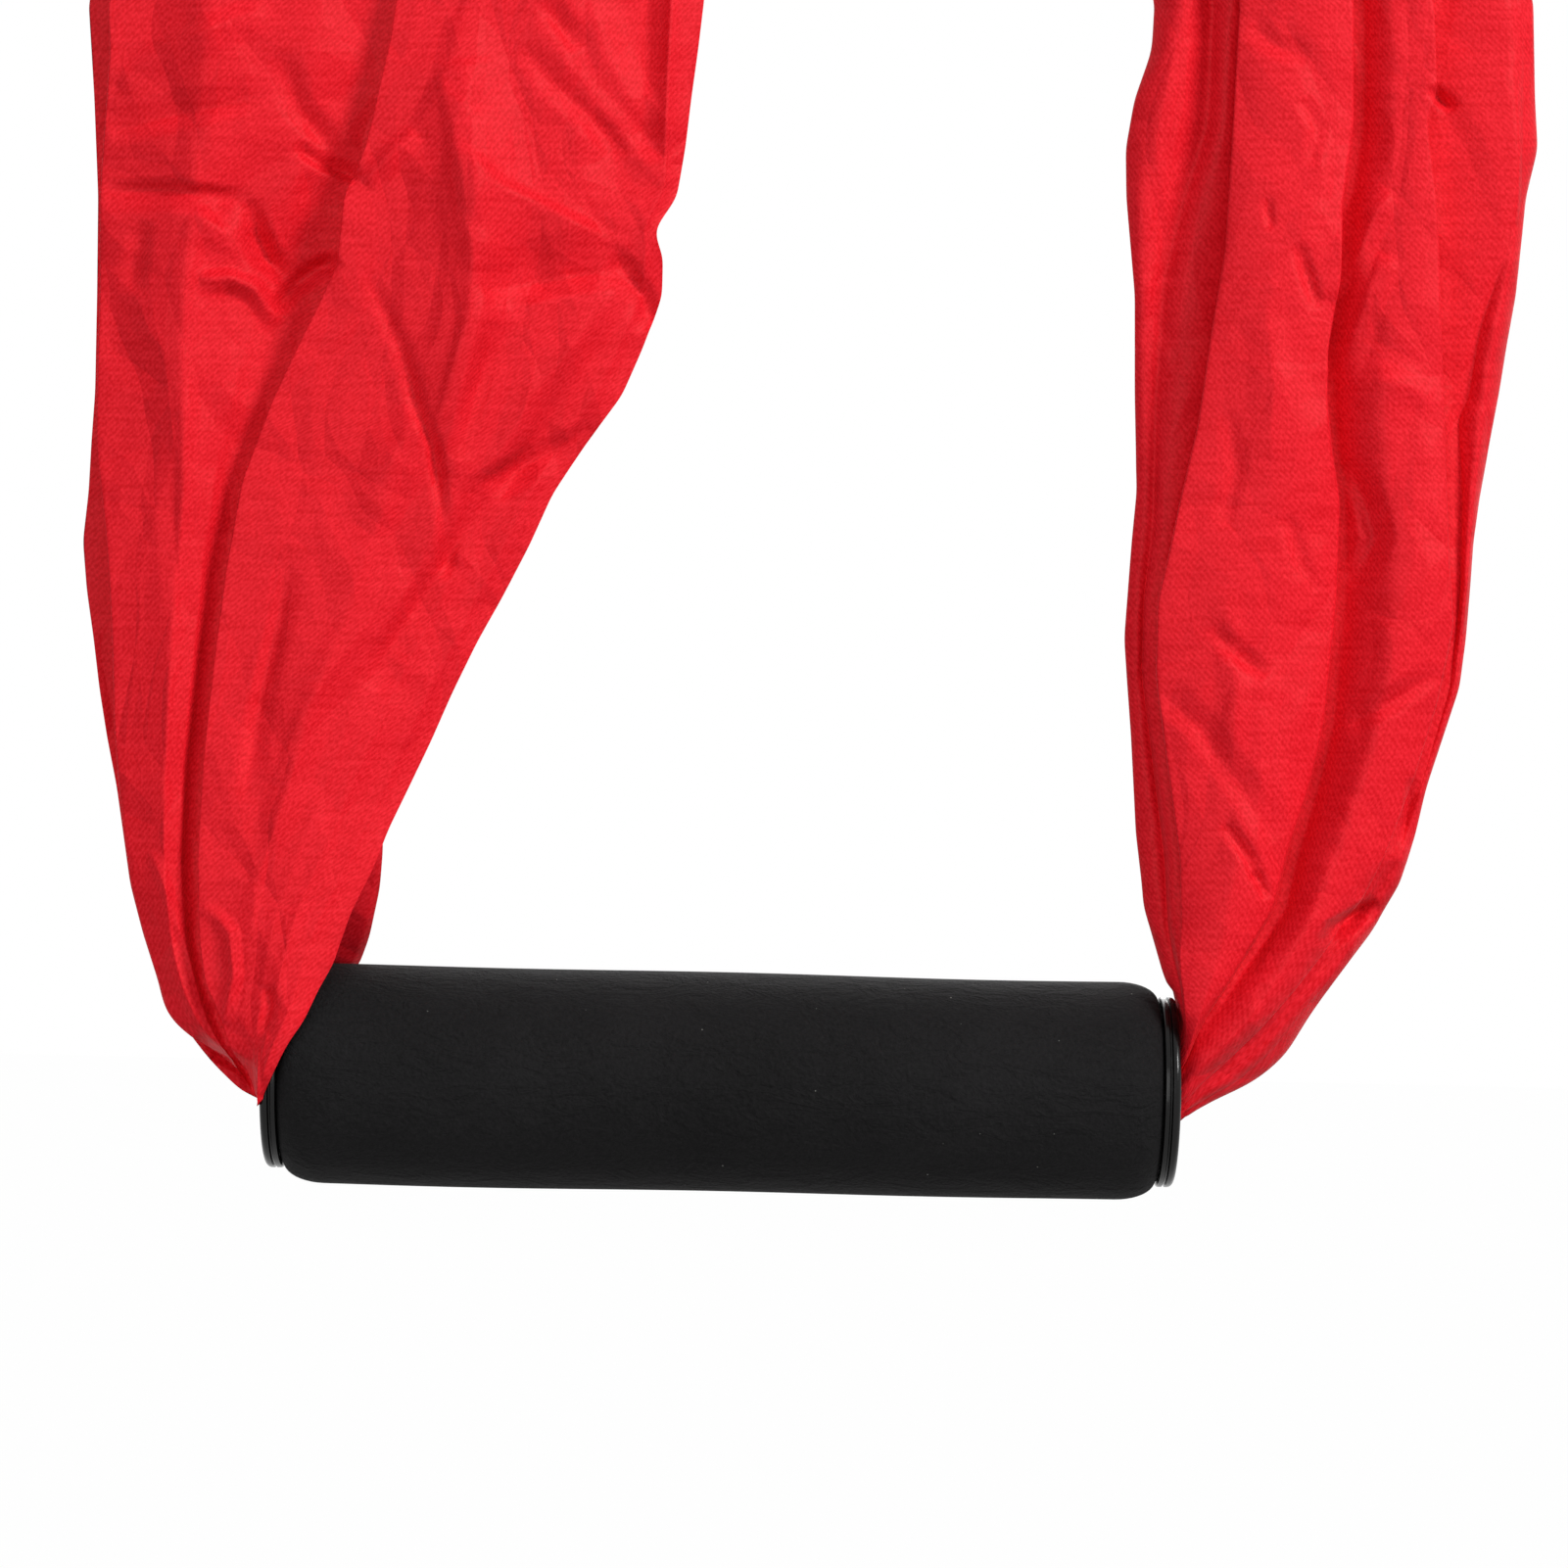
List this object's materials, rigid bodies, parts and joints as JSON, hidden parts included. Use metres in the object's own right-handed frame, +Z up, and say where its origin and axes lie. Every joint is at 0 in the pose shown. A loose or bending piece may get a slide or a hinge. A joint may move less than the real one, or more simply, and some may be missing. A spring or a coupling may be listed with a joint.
{
  "type": "yoga trapeze hand loop",
  "caption": "Gathered fabric strip looped through a foam-covered hand grip, hung by a rope sling from a sprung snap hook.",
  "frame": {"origin": "the point inside the snap hook's top bow that rests on whatever the loop hangs from", "axes": "+Z up, +X along the grip towards its right end, -Y towards the viewer of the picture"},
  "size_m": [0.2055, 0.0344, 0.4815],
  "materials": {
    "foam": "matte",
    "hard_black": "gloss",
    "red_fabric": "satin",
    "rope": "matte",
    "steel": "satin",
    "spring_steel": "satin"
  },
  "bodies": {
    "hook": {"hook_body": "steel", "latch_pin": "steel", "gate_hinge_pin": "steel"},
    "gate": {"hook_gate": "steel", "gate_plunger": "steel", "gate_spring": "spring_steel"},
    "sling": {"rope_sling": "rope", "splice_sleeve": "hard_black"},
    "strip": {"fabric_crown": "red_fabric", "fabric_leg_left": "red_fabric", "fabric_leg_right": "red_fabric", "fabric_in_grip": "red_fabric"},
    "grip": {"foam_grip": "foam", "grip_tube": "hard_black", "end_collar_left": "hard_black", "end_collar_right": "hard_black"}
  },
  "joints": [
    {"name": "gate_swing", "type": "hinge", "parent": "hook", "child": "gate", "pos_m": [0.019, 0, -0.0545], "axis": [0, -1, 0], "range_deg": [0, 28], "stiffness_Nm_per_rad": 0.3, "springref_deg": -17.19},
    {"name": "sling_swing", "type": "hinge", "parent": "hook", "child": "sling", "pos_m": [0, 0, -0.068], "axis": [1, 0, 0], "range_deg": [-60, 60]},
    {"name": "loop_tilt", "type": "hinge", "parent": "sling", "child": "strip", "pos_m": [0, 0, -0.128], "axis": [0, 1, 0], "range_deg": [-40, 40]},
    {"name": "grip_roll", "type": "hinge", "parent": "strip", "child": "grip", "pos_m": [-0.006, 0, -0.458], "axis": [1, 0, 0], "continuous": true}
  ]
}
